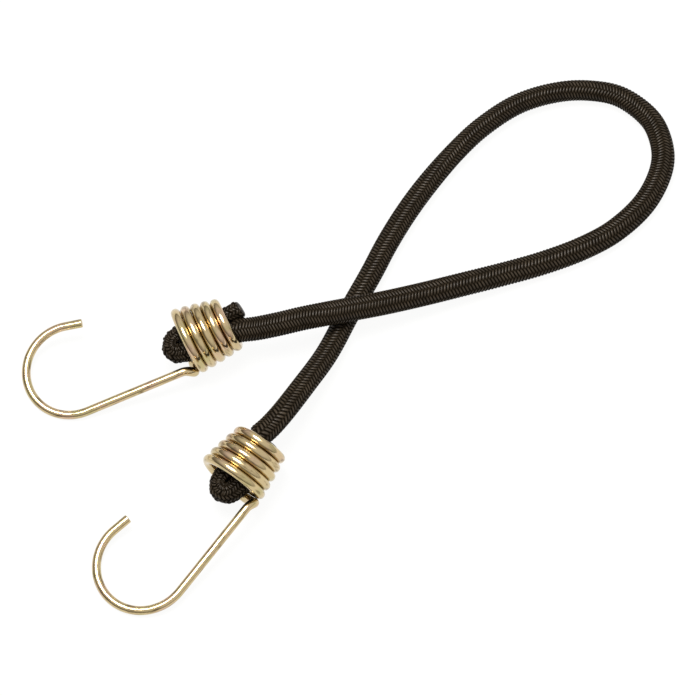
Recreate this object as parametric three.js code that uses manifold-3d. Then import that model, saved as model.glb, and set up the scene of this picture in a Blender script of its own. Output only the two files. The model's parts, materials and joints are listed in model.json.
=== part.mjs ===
// Bungee cord: an elastic cord in a braided sheath, with a wire hook coiled round each doubled end.
// Millimetres, +Z up. The cord lies in one open loop on the plane z = 0, and both hooks rest on it.
import * as THREE from 'three';
import { mergeVertices } from 'three/addons/utils/BufferGeometryUtils.js';
import Module from 'manifold-3d';

const wasm = await Module();
wasm.setup();

// Cord
const CORD_DIAMETER = 8.4;
const SHEATH_WALL = 0.8;
const STRAND_SIDE = 0.95;
const STRAND_GAP = 0.18;
const STRAND_CLEARANCE = 0.1;

// Cord pressed inside a coil, where two runs lie side by side: half sizes of one run
const GRIP_HALF_WIDTH = 3.1;
const GRIP_HALF_HEIGHT = 4.4;
const FOLD_HALF_WIDTH = 3.3;
const FOLD_HALF_HEIGHT = 4.8;
const RUN_GAP = 0.3;
const FOLD_REACH = 7.6;

// Cord leaving a coil: it stays pressed for a little, then swells to its full size
const MOUTH_STRAIGHT = 2.0;
const SWELL_LENGTH = 9.0;

// Cut tails of the cord, and the melted cap on each
const TAIL_REACH_A = 5.2;
const TAIL_REACH_B = 0.6;
const TAIL_SPREAD = 0.16;
const SEAL_GAP = 0.3;
const SEAL_THICKNESS = 1.2;
const SEAL_RIM = 0.7;
const SEAL_CROWN_SHARE = 0.72;

// Wire hook
const WIRE_DIAMETER = 3.2;
const GRIP_CLEARANCE = 0.4;
const COIL_TURNS = 5.25;
const COIL_PITCH = 3.62;
const COIL_FLARE = 2.85;
const COIL_TAPER_POWER = 1.4;
const ELBOW_RADIUS = 4.2;
const ELBOW_HANDLE_SHARE = 0.55;
const SHANK_LENGTH = 41.2;
const BEND_RADIUS = 16.85;
const BEND_SWEEP_DEG = 192;
const TIP_LENGTH = 6.4;
const FLOOR_FLAT = 0.5;

// How each hook lies: where the hook end of its coil is, its heading from coil to bend, its roll, and how far
// its shank lies inside the widest turn
const HOOK_A_AT = [10.5, 43.4];
const HOOK_A_HEADING_DEG = 199.8;
const HOOK_A_ROLL_DEG = -9.9;
const HOOK_A_SHANK_INSET = 1.2;
const HOOK_B_AT = [28.8, -12.6];
const HOOK_B_HEADING_DEG = 231.3;
const HOOK_B_ROLL_DEG = 1.3;
const HOOK_B_SHANK_INSET = 0.4;

// Route of the free cord from coil A to coil B: x, y, and how far it is lifted off the plane
const ROUTE = [
  [37.4, 48.3, 10.4], [46.2, 50.0, 11.0], [53.4, 51.9, 11.1], [60.8, 53.8, 10.7], [71.7, 57.0, 9.1],
  [82.9, 60.4, 7.2], [97.7, 65.5, 4.7], [112.8, 71.0, 2.4], [127.9, 76.2, 0.8], [143.4, 81.5, 0.1],
  [159.2, 88.2, 0], [171.6, 95.9, 0], [184.1, 109.3, 0], [190.9, 126.2, 0], [189.6, 139.6, 0],
  [185.6, 147.2, 0], [175.5, 155.6, 0], [164.4, 158.1, 0], [152.8, 157.5, 0], [137.2, 152.3, 0],
  [122.8, 141.8, 0], [111.8, 130.1, 0], [100.7, 115.5, 0], [92.6, 102.9, 0], [85.5, 89.8, 0],
  [79.6, 77.1, 0], [71.4, 60.6, 0.1], [63.1, 42.2, 2.0], [54.5, 26.6, 6.2], [46.7, 13.4, 9.8],
  [42.6, 8.1, 10.3],
];

// Fineness of the solids
const CORD_SIDES = 12;
const FREE_STEPS = 28;
const FOLD_STEPS = 8;
const WIRE_SIDES = 8;
const BEND_STEPS = 16;
const ELBOW_STEPS = 5;
const STEPS_PER_TURN = 20;

// Sizes that follow
const CORD_RADIUS = CORD_DIAMETER / 2;
const BORE_RADIUS = CORD_RADIUS - SHEATH_WALL;
const WIRE_RADIUS = WIRE_DIAMETER / 2;
const RUN_OFFSET = GRIP_HALF_WIDTH + RUN_GAP / 2;
const FOLD_RADIUS = FOLD_HALF_WIDTH + RUN_GAP / 2;
const FOLD_CENTRE = FOLD_REACH - FOLD_RADIUS - FOLD_HALF_WIDTH;
const COIL_LENGTH = COIL_TURNS * COIL_PITCH;
const COIL_RADIUS_CORD_END = RUN_OFFSET + GRIP_HALF_WIDTH + GRIP_CLEARANCE + WIRE_RADIUS;
const COIL_RADIUS_HOOK_END = COIL_RADIUS_CORD_END + COIL_FLARE;
const LYING_HEIGHT = CORD_RADIUS * Math.cos(Math.PI / CORD_SIDES);

const FULL_TURN = 2 * Math.PI;
const SMALL_TURN = 0.001;
const HALVINGS = 40;
const vec = (x, y, z) => new THREE.Vector3(x, y, z);
const mix = THREE.MathUtils.lerp;
const degrees = THREE.MathUtils.degToRad;
const ease = (t) => THREE.MathUtils.smoothstep(t, 0, 1);

// Materials
const plating = new THREE.MeshStandardMaterial({ color: 0xd8c48e, roughness: 0.25, metalness: 1.0 });
const braid = new THREE.MeshStandardMaterial({ color: 0x2a2420, roughness: 0.8, metalness: 0.0 });
const rubber = new THREE.MeshStandardMaterial({ color: 0xcbb892, roughness: 0.7, metalness: 0.0 });
const melted = new THREE.MeshStandardMaterial({ color: 0x191614, roughness: 0.5, metalness: 0.0 });

// A closed body from its points and triangles
function body(points, triangles) {
  const geometry = new THREE.BufferGeometry();
  const flat = points.flatMap((point) => point.toArray());
  geometry.setAttribute('position', new THREE.Float32BufferAttribute(flat, 3));
  geometry.setIndex(triangles);
  return geometry;
}

// Triangles of the skin between neighbouring rings of equal count, facing out from the rings' middle
function skin(ringCount, sides, first = 0) {
  const triangles = [];
  for (let i = 0; i + 1 < ringCount; i += 1) {
    for (let k = 0; k < sides; k += 1) {
      const a = first + i * sides + k;
      const b = first + i * sides + ((k + 1) % sides);
      triangles.push(a, b, b + sides, a, b + sides, a + sides);
    }
  }
  return triangles;
}

// A solid bar through rings of points
function bar(rings) {
  const sides = rings[0].length;
  const last = (rings.length - 1) * sides;
  const triangles = skin(rings.length, sides);
  for (let k = 1; k + 1 < sides; k += 1) {
    triangles.push(0, k + 1, k, last, last + k, last + k + 1);
  }
  return body(rings.flat(), triangles);
}

// A tube open at both ends, from its outer and its inner rings
function tube(outer, inner) {
  const sides = outer[0].length;
  const innerFirst = outer.length * sides;
  const triangles = skin(outer.length, sides);
  const bore = skin(inner.length, sides, innerFirst);
  for (let i = 0; i < bore.length; i += 3) {
    triangles.push(bore[i], bore[i + 2], bore[i + 1]);
  }
  const last = (outer.length - 1) * sides;
  for (let k = 0; k < sides; k += 1) {
    const next = (k + 1) % sides;
    triangles.push(k, innerFirst + k, innerFirst + next, k, innerFirst + next, next);
    const far = [last + k, innerFirst + last + k, innerFirst + last + next, last + next];
    triangles.push(far[0], far[2], far[1], far[0], far[3], far[2]);
  }
  return body([...outer, ...inner].flat(), triangles);
}

// Points of a regular section with a flat facing each axis, as shares of its half sizes
function roundSection(sides) {
  return Array.from({ length: sides }, (_, k) => {
    const angle = ((k + 0.5) / sides) * FULL_TURN;
    return [Math.cos(angle), Math.sin(angle)];
  });
}

// Wire of one hook, in its own frame: the coil's axis is X, towards the bend, and the shank is at +Y.
// The coil starts at x = 0 beside the shank and winds back to the cord end at x = -COIL_LENGTH, and tapers
// more quickly towards that end.
function coilPoint(turn) {
  const radius = COIL_RADIUS_HOOK_END - COIL_FLARE * (turn / COIL_TURNS) ** COIL_TAPER_POWER;
  const angle = -turn * FULL_TURN;
  return vec(-turn * COIL_PITCH, radius * Math.cos(angle), radius * Math.sin(angle));
}

function hookPath(shankInset) {
  const shankSide = COIL_RADIUS_HOOK_END - shankInset;
  const sweep = degrees(BEND_SWEEP_DEG);
  const centre = vec(SHANK_LENGTH, shankSide - BEND_RADIUS, 0);
  const bend = [];
  for (let i = 0; i <= BEND_STEPS; i += 1) {
    const angle = sweep * (1 - i / BEND_STEPS);
    const round = vec(Math.sin(angle), Math.cos(angle), 0);
    bend.push(centre.clone().addScaledVector(round, BEND_RADIUS));
  }
  const tipWay = vec(Math.cos(sweep), -Math.sin(sweep), 0);
  const tip = bend[0].clone().addScaledVector(tipWay, TIP_LENGTH);

  // The elbow turns the shank down into the first turn of the coil
  const firstTurn = Math.asin(ELBOW_RADIUS / COIL_RADIUS_HOOK_END) / FULL_TURN;
  const coilStart = coilPoint(firstTurn);
  const coilWay = coilPoint(firstTurn + SMALL_TURN).sub(coilStart).normalize();
  const shankEnd = vec(coilStart.x + ELBOW_RADIUS, shankSide, 0);
  const handle = ELBOW_RADIUS * ELBOW_HANDLE_SHARE;
  const elbow = new THREE.CubicBezierCurve3(
    shankEnd,
    shankEnd.clone().add(vec(-handle, 0, 0)),
    coilStart.clone().addScaledVector(coilWay, -handle),
    coilStart,
  ).getPoints(ELBOW_STEPS);

  const coil = [];
  const coilSteps = Math.round((COIL_TURNS - firstTurn) * STEPS_PER_TURN);
  for (let i = 1; i <= coilSteps; i += 1) {
    coil.push(coilPoint(mix(firstTurn, COIL_TURNS, i / coilSteps)));
  }
  return { bend: [tip, ...bend], coil: [...elbow, ...coil] };
}

// Rings of a round bar along points, with the section carried along without twist
function barRings(points, radius, sides, firstNormal) {
  const section = roundSection(sides);
  const normal = firstNormal.clone();
  return points.map((point, i) => {
    const before = points[Math.max(i - 1, 0)];
    const after = points[Math.min(i + 1, points.length - 1)];
    const into = point.clone().sub(before).normalize();
    const onward = after.clone().sub(point).normalize();
    const way = into.add(onward).normalize();
    normal.addScaledVector(way, -normal.dot(way)).normalize();
    const across = way.clone().cross(normal);
    return section.map(([x, y]) => {
      const out = normal.clone().multiplyScalar(x).addScaledVector(across, y);
      return point.clone().addScaledVector(out, radius);
    });
  });
}

// Least gap between parts of one tube that are more than a quarter turn apart along it
function leastSelfGap(points, diameter, apart) {
  let least = Infinity;
  points.forEach((point, i) => {
    for (let j = i + apart; j < points.length; j += 1) {
      least = Math.min(least, point.distanceTo(points[j]));
    }
  });
  return least - diameter;
}

// The pitch at which the coil and the bend both touch the plane, for a given roll
function restingPitch({ bend, coil }, roll) {
  const lowest = (points, pitch) => {
    const turn = new THREE.Euler(roll, pitch, 0, 'ZYX');
    return Math.min(...points.map((point) => point.clone().applyEuler(turn).z));
  };
  let low = 0;
  let high = Math.PI / 4;
  for (let i = 0; i < HALVINGS; i += 1) {
    const middle = (low + high) / 2;
    if (lowest(bend, middle) > lowest(coil, middle)) {
      low = middle;
    } else {
      high = middle;
    }
  }
  return (low + high) / 2;
}

function toSolid(geometry) {
  const bare = geometry.clone();
  bare.deleteAttribute('normal');
  bare.deleteAttribute('uv');
  const merged = mergeVertices(bare);
  const vertProperties = new Float32Array(merged.attributes.position.array);
  const triVerts = new Uint32Array(merged.index.array);
  return new wasm.Manifold(new wasm.Mesh({ numProp: 3, vertProperties, triVerts }));
}

function toGeometry(solid) {
  const mesh = solid.getMesh();
  const geometry = new THREE.BufferGeometry();
  geometry.setAttribute('position', new THREE.BufferAttribute(new Float32Array(mesh.vertProperties), 3));
  geometry.setIndex(Array.from(mesh.triVerts));
  return geometry;
}

// One hook, laid on the plane and flattened a little where its coil and its bend touch it
function layHook(name, at, headingDeg, rollDeg, shankInset) {
  const path = hookPath(shankInset);
  const coilGap = leastSelfGap(path.coil, WIRE_DIAMETER, Math.ceil(STEPS_PER_TURN / 4));
  console.log(`${name}: least gap between the turns of its coil ${coilGap.toFixed(2)} mm`);
  const roll = degrees(rollDeg);
  const group = new THREE.Group();
  group.rotation.set(roll, restingPitch(path, roll), degrees(headingDeg), 'ZYX');
  const wire = bar(barRings([...path.bend, ...path.coil], WIRE_RADIUS, WIRE_SIDES, vec(0, 1, 0)));
  const mesh = new THREE.Mesh(wire, plating);
  mesh.name = name;
  group.add(mesh);
  group.updateMatrixWorld(true);
  const lowest = new THREE.Box3().setFromObject(group, true).min.z;
  group.position.set(at[0], at[1], -lowest - FLOOR_FLAT);
  group.updateMatrixWorld(true);

  const reach = 4 * (COIL_LENGTH + SHANK_LENGTH + BEND_RADIUS);
  const ground = new THREE.BoxGeometry(reach, reach, WIRE_DIAMETER);
  ground.translate(at[0], at[1], -WIRE_RADIUS);
  ground.applyMatrix4(group.matrixWorld.clone().invert());
  mesh.geometry = toGeometry(toSolid(wire).subtract(toSolid(ground)));
  return group;
}

const hookA = layHook('hook_a', HOOK_A_AT, HOOK_A_HEADING_DEG, HOOK_A_ROLL_DEG, HOOK_A_SHANK_INSET);
const hookB = layHook('hook_b', HOOK_B_AT, HOOK_B_HEADING_DEG, HOOK_B_ROLL_DEG, HOOK_B_SHANK_INSET);

// Stations of the cord: a point, the way along the cord, the upward side and the half sizes of the section
const gripHalf = [GRIP_HALF_WIDTH, GRIP_HALF_HEIGHT];
const foldHalf = [FOLD_HALF_WIDTH, FOLD_HALF_HEIGHT];
const freeHalf = [CORD_RADIUS, CORD_RADIUS];
const mixHalf = (a, b, t) => [mix(a[0], b[0], t), mix(a[1], b[1], t)];
const swell = (distance) => mixHalf(gripHalf, freeHalf, ease((distance - MOUTH_STRAIGHT) / SWELL_LENGTH));

// The doubled end inside one coil, from the cut tail round the fold to the mouth where the cord leaves.
// side is +1 where the cord leaves on the shank's side of the coil, and -1 where it leaves on the other.
function doubledEnd(hook, side, tailReach) {
  const local = [];
  const mouth = -COIL_LENGTH;
  const add = (x, y, wayX, wayY, half) => local.push({ at: vec(x, y, 0), way: vec(wayX, wayY, 0), half });
  const tailOffset = RUN_OFFSET + TAIL_SPREAD * tailReach;
  add(mouth - tailReach, -side * tailOffset, 1, side * TAIL_SPREAD, swell(tailReach));
  add(mouth, -side * RUN_OFFSET, 1, 0, gripHalf);
  for (let i = 0; i <= FOLD_STEPS; i += 1) {
    const angle = (i / FOLD_STEPS) * Math.PI;
    const x = FOLD_CENTRE + FOLD_RADIUS * Math.sin(angle);
    add(x, -side * FOLD_RADIUS * Math.cos(angle), Math.cos(angle), side * Math.sin(angle), foldHalf);
  }
  add(mouth, side * RUN_OFFSET, -1, 0, gripHalf);
  const up = vec(0, 0, 1).transformDirection(hook.matrixWorld);
  return local.map(({ at, way, half }) => ({
    at: at.applyMatrix4(hook.matrixWorld),
    way: way.transformDirection(hook.matrixWorld),
    up,
    half,
  }));
}

// The free cord between the two mouths
function freeRun(mouthA, mouthB) {
  const inA = mouthA.at.clone().addScaledVector(mouthA.way, -COIL_LENGTH);
  const inB = mouthB.at.clone().addScaledVector(mouthB.way, COIL_LENGTH);
  const lying = ROUTE.map(([x, y, lift]) => vec(x, y, LYING_HEIGHT + lift));
  const through = [inA, mouthA.at, ...lying, mouthB.at, inB];
  const curve = new THREE.CatmullRomCurve3(through, false, 'centripetal');
  curve.arcLengthDivisions = 2000;
  const whole = curve.getLength();
  const length = whole - 2 * COIL_LENGTH;
  const swollen = MOUTH_STRAIGHT + SWELL_LENGTH;
  const nearMouth = [MOUTH_STRAIGHT, MOUTH_STRAIGHT + SWELL_LENGTH / 2];
  const even = (_, i) => mix(swollen, length - swollen, i / FREE_STEPS);
  const middle = Array.from({ length: FREE_STEPS + 1 }, even);
  const distances = [...nearMouth, ...middle, ...nearMouth.map((d) => length - d).reverse()];
  console.log(`free cord: ${length.toFixed(1)} mm between the coils`);
  return distances.map((distance) => {
    const share = (COIL_LENGTH + distance) / whole;
    const fromMouth = Math.min(distance, length - distance);
    const mouth = distance < length / 2 ? mouthA : mouthB;
    const up = mouth.up.clone().lerp(vec(0, 0, 1), ease(fromMouth / swollen));
    return { at: curve.getPointAt(share), way: curve.getTangentAt(share), up, half: swell(fromMouth) };
  });
}

const endA = doubledEnd(hookA, 1, TAIL_REACH_A);
const endB = doubledEnd(hookB, -1, TAIL_REACH_B)
  .map((station) => ({ ...station, way: station.way.negate() }))
  .reverse();
const stations = [...endA, ...freeRun(endA.at(-1), endB[0]), ...endB];

// One ring of points round a station, from a section given as shares of the half sizes
function ring({ at, way, up }, section, half) {
  const across = up.clone().cross(way).normalize();
  const over = way.clone().cross(across);
  return section.map(([x, y]) => {
    const sideways = at.clone().addScaledVector(across, x * half[0]);
    return sideways.addScaledVector(over, y * half[1]);
  });
}

const cordSection = roundSection(CORD_SIDES);
const boreHalf = ({ half }) => half.map((size) => size - SHEATH_WALL);

function named(name, geometry, material) {
  const mesh = new THREE.Mesh(geometry, material);
  mesh.name = name;
  return mesh;
}

const sheath = named('braided_sheath', tube(
  stations.map((station) => ring(station, cordSection, station.half)),
  stations.map((station) => ring(station, cordSection, boreHalf(station))),
), braid);

// Square rubber strands on a square grid, as many as the bore holds
function strandCorners() {
  const pitch = STRAND_SIDE + STRAND_GAP;
  const room = BORE_RADIUS * Math.cos(Math.PI / CORD_SIDES) - STRAND_CLEARANCE;
  const reach = Math.ceil(BORE_RADIUS / pitch);
  const found = [];
  for (let row = -reach; row <= reach; row += 1) {
    for (let column = -reach; column <= reach; column += 1) {
      const x = column * pitch;
      const y = row * pitch;
      const h = STRAND_SIDE / 2;
      if (Math.hypot(Math.abs(x) + h, Math.abs(y) + h) <= room) {
        const corners = [[x + h, y + h], [x - h, y + h], [x - h, y - h], [x + h, y - h]];
        found.push(corners.map(([cx, cy]) => [cx / BORE_RADIUS, cy / BORE_RADIUS]));
      }
    }
  }
  return found;
}

const strands = strandCorners().map((corners, i) => named(
  `rubber_strand_${String(i + 1).padStart(2, '0')}`,
  bar(stations.map((station) => ring(station, corners, boreHalf(station)))),
  rubber,
));

// The melted cap over one cut tail, just clear of the sheath's end
function seal(name, station, outward) {
  const layers = [[0, 1], [SEAL_RIM, 1], [SEAL_THICKNESS, SEAL_CROWN_SHARE]];
  const along = station.way.clone().multiplyScalar(outward);
  const rings = layers.map(([depth, share]) => {
    const at = station.at.clone().addScaledVector(along, SEAL_GAP + depth);
    return ring({ ...station, at }, cordSection, station.half.map((size) => size * share));
  });
  return named(name, bar(outward > 0 ? rings : rings.reverse()), melted);
}

const part = new THREE.Group();
part.add(hookA, hookB, sheath, ...strands);
part.add(seal('tail_seal_a', stations[0], -1), seal('tail_seal_b', stations.at(-1), 1));
part.updateMatrixWorld(true);

export default part;
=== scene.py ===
"""Looks of a bungee cord: an elastic cord in a braided sheath, with a plated wire hook at each end.

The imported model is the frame. Every piece is worked out in metres in that frame: two wire hooks, the
sheath in two free halves and two doubled ends, the rubber strands inside it, and the melted tails.
"""

import json
import logging
import math
from dataclasses import dataclass, field
from enum import Enum

import bpy
import numpy as np
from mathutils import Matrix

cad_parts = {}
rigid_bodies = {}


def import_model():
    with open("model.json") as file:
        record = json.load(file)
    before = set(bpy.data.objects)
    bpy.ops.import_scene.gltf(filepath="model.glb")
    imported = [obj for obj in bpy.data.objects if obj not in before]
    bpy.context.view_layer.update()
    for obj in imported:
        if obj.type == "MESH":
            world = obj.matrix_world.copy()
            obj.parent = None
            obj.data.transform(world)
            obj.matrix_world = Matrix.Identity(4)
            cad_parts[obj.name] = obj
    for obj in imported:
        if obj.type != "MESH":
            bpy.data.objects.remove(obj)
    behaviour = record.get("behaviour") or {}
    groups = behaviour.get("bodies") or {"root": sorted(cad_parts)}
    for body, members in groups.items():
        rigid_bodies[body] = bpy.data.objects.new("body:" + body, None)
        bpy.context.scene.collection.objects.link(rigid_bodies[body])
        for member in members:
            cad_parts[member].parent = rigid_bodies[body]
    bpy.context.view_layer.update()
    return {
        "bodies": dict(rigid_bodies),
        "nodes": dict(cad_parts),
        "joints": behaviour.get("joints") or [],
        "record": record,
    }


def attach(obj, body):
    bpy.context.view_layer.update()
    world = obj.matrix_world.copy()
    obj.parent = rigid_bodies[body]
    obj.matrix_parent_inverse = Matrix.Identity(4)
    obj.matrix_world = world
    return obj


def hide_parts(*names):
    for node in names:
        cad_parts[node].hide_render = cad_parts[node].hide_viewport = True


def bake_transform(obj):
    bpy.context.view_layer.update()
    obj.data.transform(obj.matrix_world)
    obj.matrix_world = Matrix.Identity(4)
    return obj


Array = np.ndarray
Face = list[int]
Pair = tuple[float, float]
Triple = tuple[float, float, float]
Colour = tuple[float, float, float, float]
Settings = dict[str, object]
Sockets = dict[str | int, object]

log = logging.getLogger("bungee_cord")

MM = 0.001
UP = np.array([0.0, 0.0, 1.0])
FULL_TURN = 2.0 * math.pi

# Spread of values over whole numbers: how far the sine turns for each, and the multiple that is cut
SCATTER_TURNS = (12.9898, 78.233)
SCATTER_MULTIPLE = 43758.5453


class End(Enum):
    """The two ends of the cord, by the letter in the names of their nodes and bodies."""

    A = "a"
    B = "b"


# Whole-array geometry


def unit(vectors: Array) -> Array:
    """Vectors along the last axis, each scaled to length one."""
    return vectors / np.linalg.norm(vectors, axis=-1, keepdims=True)


def ease(share: Array) -> Array:
    """Smooth step from 0 at share 0 to 1 at share 1, level at both ends."""
    held = np.clip(share, 0.0, 1.0)
    return held * held * (3.0 - 2.0 * held)


def mixed(first: Array, last: Array, share: Array) -> Array:
    """Values from first at share 0 to last at share 1, one row for each share."""
    return np.asarray(first) + (np.asarray(last) - np.asarray(first)) * share[:, None]


def travelled(points: Array) -> Array:
    """Distance along a line of points, from 0 at the first."""
    steps = np.linalg.norm(np.diff(points, axis=0), axis=1)
    return np.concatenate([[0.0], np.cumsum(steps)])


def read_at(where: Array, known_at: Array, known: Array) -> Array:
    """Each column of known, given at the distances known_at, read at other distances."""
    return np.stack([np.interp(where, known_at, column) for column in known.T], axis=1)


def averaged(values: Array, reach: int) -> Array:
    """Moving average down each column, with the first and last rows held.

    Args:
        values: Rows of values.
        reach: Rows on each side that count.

    Returns:
        The averaged rows.
    """
    padded = np.pad(values, ((reach, reach), (0, 0)), mode="edge")
    kernel = np.full(2 * reach + 1, 1.0 / (2 * reach + 1))
    return np.stack([np.convolve(column, kernel, mode="valid") for column in padded.T], axis=1)


def scatter(first: Array, second: Array) -> Array:
    """A fixed spread from 0 to 1: the fraction of a large multiple of a sine of two whole numbers."""
    large = np.sin(first * SCATTER_TURNS[0] + second * SCATTER_TURNS[1]) * SCATTER_MULTIPLE
    return large - np.floor(large)


def round_section(sides: int) -> Array:
    """Cosine and sine of equal angles round a section."""
    angle = np.arange(sides) / sides * FULL_TURN
    return np.stack([np.cos(angle), np.sin(angle)], axis=1)


def curve_through(points: Array, steps: int) -> Array:
    """Smooth curve through points.

    Each span is the cubic whose end slopes come from its neighbours, with the knots spaced by the square
    root of the distance. A mirrored point stands before the first and after the last.

    Args:
        points: Points that the curve passes, one row each.
        steps: Steps in each span.

    Returns:
        Points along the curve.
    """
    before_first = 2.0 * points[0] - points[1]
    after_last = 2.0 * points[-1] - points[-2]
    whole = np.vstack([before_first, points, after_last])
    knot = np.sqrt(np.linalg.norm(np.diff(whole, axis=0), axis=1))[:, None]
    before, here, after = knot[:-2], knot[1:-1], knot[2:]
    p0, p1, p2, p3 = whole[:-3], whole[1:-2], whole[2:-1], whole[3:]
    slope_in = ((p1 - p0) / before - (p2 - p0) / (before + here) + (p2 - p1) / here) * here
    slope_out = ((p2 - p1) / here - (p3 - p1) / (here + after) + (p3 - p2) / after) * here
    t = (np.arange(steps) / steps)[None, :, None]
    square = t * t
    cube = square * t
    spans = (
        p1[:, None] * (2.0 * cube - 3.0 * square + 1.0)
        + p2[:, None] * (3.0 * square - 2.0 * cube)
        + slope_in[:, None] * (cube - 2.0 * square + t)
        + slope_out[:, None] * (cube - square)
    )
    return np.vstack([spans.reshape(-1, 3), points[-1]])


def skin(rings: int, sides: int, first: int = 0) -> Array:
    """Four-sided faces between neighbouring rings, pointing away from the rings' middle.

    Args:
        rings: Number of rings.
        sides: Points in each ring.
        first: Number of the first ring's first point.

    Returns:
        The numbers of each face's points, one row for each face.
    """
    ring, side = np.meshgrid(np.arange(rings - 1), np.arange(sides), indexing="ij")
    here = first + ring * sides + side
    beside = first + ring * sides + (side + 1) % sides
    return np.stack([here, beside, beside + sides, here + sides], axis=-1).reshape(-1, 4)


def new_piece(name: str, points: Array, smooth: list[Face], flat: list[Face]) -> bpy.types.Object:
    """A mesh object at the origin, with its place in its points.

    Args:
        name: Name of the piece.
        points: Points, in any grid of rows of three.
        smooth: Faces that shade as one round surface.
        flat: Faces that shade flat, such as a cut end.

    Returns:
        The new object, in the scene.
    """
    mesh = bpy.data.meshes.new(name)
    mesh.from_pydata(points.reshape(-1, 3).tolist(), [], smooth + flat)
    shade = np.concatenate([np.ones(len(smooth), bool), np.zeros(len(flat), bool)])
    mesh.polygons.foreach_set("use_smooth", shade)
    mesh.update()
    piece = bpy.data.objects.new(name, mesh)
    bpy.context.scene.collection.objects.link(piece)
    return piece


def note(piece: bpy.types.Object, name: str, values: Array) -> None:
    """Keeps values on the points of a piece, for its finish to read.

    Args:
        piece: The piece.
        name: Name of the values.
        values: A number, or a row of three, for each point.
    """
    kind, key = ("FLOAT", "value") if values.ndim == 1 else ("FLOAT_VECTOR", "vector")
    made = piece.data.attributes.new(name, kind, "POINT")
    made.data.foreach_set(key, values.astype(np.float32).ravel())


# Shaders


class Value:
    """A shader socket that takes part in Python expressions. Each operator adds one Math node."""

    def __init__(self, shader: "Shader", socket: bpy.types.NodeSocket) -> None:
        """Wraps one output socket of a shader's node."""
        self.shader = shader
        self.socket = socket

    def _math(self, operation: str, first: "Value | float", second: "Value | float") -> "Value":
        """The result of a Math node on two values."""
        node = self.shader.node("ShaderNodeMath", {"operation": operation}, {0: first, 1: second})
        return Value(self.shader, node.outputs[0])

    def __add__(self, other: "Value | float") -> "Value":
        """Sum."""
        return self._math("ADD", self, other)

    def __radd__(self, other: float) -> "Value":
        """Sum, with the number first."""
        return self._math("ADD", other, self)

    def __sub__(self, other: "Value | float") -> "Value":
        """Difference."""
        return self._math("SUBTRACT", self, other)

    def __rsub__(self, other: float) -> "Value":
        """Difference, with the number first."""
        return self._math("SUBTRACT", other, self)

    def __mul__(self, other: "Value | float") -> "Value":
        """Product."""
        return self._math("MULTIPLY", self, other)

    def __rmul__(self, other: float) -> "Value":
        """Product, with the number first."""
        return self._math("MULTIPLY", other, self)

    def sine(self) -> "Value":
        """Sine of the value in radians."""
        return self._math("SINE", self, 0.0)

    def band(self, low: float, high: float) -> "Value":
        """A smooth step of the value.

        Args:
            low: The value below which the step is 0.
            high: The value above which the step is 1.

        Returns:
            The step.
        """
        settings = {"interpolation_type": "SMOOTHSTEP"}
        sockets = {"Value": self, "From Min": low, "From Max": high}
        node = self.shader.node("ShaderNodeMapRange", settings, sockets)
        return Value(self.shader, node.outputs[0])


def colour(red: float, green: float, blue: float) -> Colour:
    """An opaque colour in linear light."""
    return (red, green, blue, 1.0)


@dataclass(frozen=True)
class Grain:
    """A smooth noise: how fine it is, how much finer noise it holds, and the band of it that shows."""

    scale: float
    detail: float
    low: float = 0.0
    high: float = 1.0


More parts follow.
